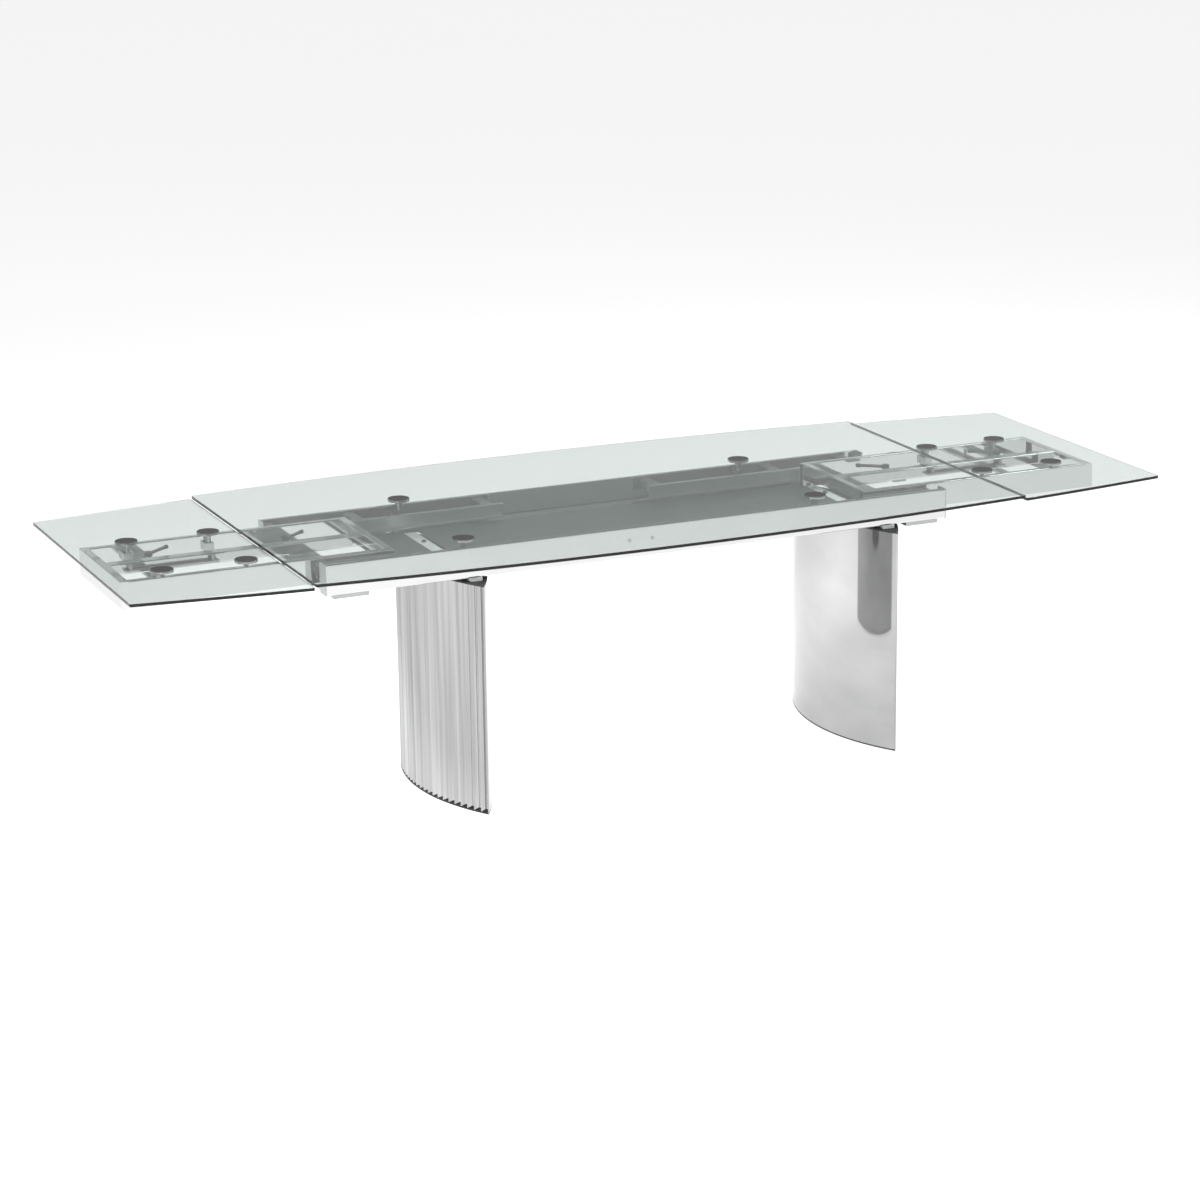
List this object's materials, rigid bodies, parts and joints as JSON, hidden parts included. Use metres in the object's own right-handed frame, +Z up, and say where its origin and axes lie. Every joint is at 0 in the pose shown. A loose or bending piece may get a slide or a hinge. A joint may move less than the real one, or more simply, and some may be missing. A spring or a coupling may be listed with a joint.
{
  "type": "dining_table",
  "caption": "Boat-shaped glass dining table on two pleated, lens-shaped mirror steel columns, with a lift-up glass leaf sliding out at each end",
  "frame": {"origin": "on the floor, under the middle of the extended top", "axes": "+X along the length of the top, +Y across it to the side with the levers, +Z up"},
  "size_m": [3.004, 1.144, 0.76],
  "materials": {
    "clear_glass": "clear tempered glass, faint green, polished edges",
    "pads": "clear bonding pad",
    "polished_steel": "mirror polished stainless steel",
    "satin_steel": "satin ground steel",
    "black_lever": "black satin paint",
    "black_bolt": "black oxide",
    "dark_paint": "dark grey paint",
    "core_board": "plywood",
    "glide": "black plastic"
  },
  "bodies": {
    "frame": {"main_glass": "clear_glass", "main_posts": "polished_steel", "main_pads": "pads", "post_brackets": "polished_steel", "post_bolts": "black_bolt", "front_apron": "polished_steel", "rear_apron": "polished_steel", "apron_screws": "satin_steel", "apron_end_caps": "satin_steel", "bottom_trays": "dark_paint", "end_beams": "satin_steel", "leg_mounts": "polished_steel", "mount_bolts": "black_bolt", "front_fixed_runners": "satin_steel", "rear_fixed_runners": "satin_steel", "runner_blocks": "satin_steel", "left_leg_pleated_skin": "polished_steel", "left_leg_mirror_skin": "polished_steel", "left_leg_core": "core_board", "left_leg_base_plate": "dark_paint", "left_leg_top_plate": "dark_paint", "left_leg_glides": "glide", "right_leg_pleated_skin": "polished_steel", "right_leg_mirror_skin": "polished_steel", "right_leg_core": "core_board", "right_leg_base_plate": "dark_paint", "right_leg_top_plate": "dark_paint", "right_leg_glides": "glide"},
    "left_leaf_frame": {"left_side_rails": "polished_steel", "left_end_rail": "polished_steel", "left_inner_rail": "polished_steel", "left_middle_rail": "polished_steel", "left_moving_runners": "satin_steel", "left_post_guides": "satin_steel", "left_screw_bridge": "satin_steel", "left_lock_pillar": "satin_steel"},
    "left_leaf_top": {"left_leaf_glass": "clear_glass", "left_leaf_posts": "polished_steel", "left_leaf_pads": "pads", "left_lift_yoke": "satin_steel"},
    "left_lift_handle": {"left_lift_screw": "satin_steel", "left_lift_lever": "black_lever"},
    "left_lock_handle": {"left_lock_lever": "black_lever"},
    "right_leaf_frame": {"right_side_rails": "polished_steel", "right_end_rail": "polished_steel", "right_inner_rail": "polished_steel", "right_middle_rail": "polished_steel", "right_moving_runners": "satin_steel", "right_post_guides": "satin_steel", "right_screw_bridge": "satin_steel", "right_lock_pillar": "satin_steel"},
    "right_leaf_top": {"right_leaf_glass": "clear_glass", "right_leaf_posts": "polished_steel", "right_leaf_pads": "pads", "right_lift_yoke": "satin_steel"},
    "right_lift_handle": {"right_lift_screw": "satin_steel", "right_lift_lever": "black_lever"},
    "right_lock_handle": {"right_lock_lever": "black_lever"}
  },
  "joints": [
    {"name": "left_leaf_slide", "type": "slide", "parent": "frame", "child": "left_leaf_frame", "axis": [-1, 0, 0], "range_m": [-0.472, 0]},
    {"name": "left_leaf_lift", "type": "slide", "parent": "left_leaf_frame", "child": "left_leaf_top", "axis": [0, 0, 1], "range_m": [0, 0.0084]},
    {"name": "left_lift_turn", "type": "hinge", "parent": "left_leaf_frame", "child": "left_lift_handle", "pos_m": [-1.292, 0.08, 0.722], "axis": [0, 0, 1], "range_deg": [-1, 50]},
    {"name": "left_lock_turn", "type": "hinge", "parent": "left_leaf_frame", "child": "left_lock_handle", "pos_m": [-0.915, 0.07, 0.722], "axis": [0, 0, -1], "range_deg": [-53, 0]},
    {"name": "right_leaf_slide", "type": "slide", "parent": "frame", "child": "right_leaf_frame", "axis": [1, 0, 0], "range_m": [-0.472, 0]},
    {"name": "right_leaf_lift", "type": "slide", "parent": "right_leaf_frame", "child": "right_leaf_top", "axis": [0, 0, 1], "range_m": [0, 0.0084]},
    {"name": "right_lift_turn", "type": "hinge", "parent": "right_leaf_frame", "child": "right_lift_handle", "pos_m": [1.292, 0.08, 0.722], "axis": [0, 0, -1], "range_deg": [-1, 50]},
    {"name": "right_lock_turn", "type": "hinge", "parent": "right_leaf_frame", "child": "right_lock_handle", "pos_m": [0.915, 0.07, 0.722], "axis": [0, 0, 1], "range_deg": [-53, 0]}
  ],
  "couplings": [
    {"joint": "left_lift_turn", "follows": "left_leaf_lift", "rad_per_m": 100},
    {"joint": "right_lift_turn", "follows": "right_leaf_lift", "rad_per_m": 100}
  ]
}
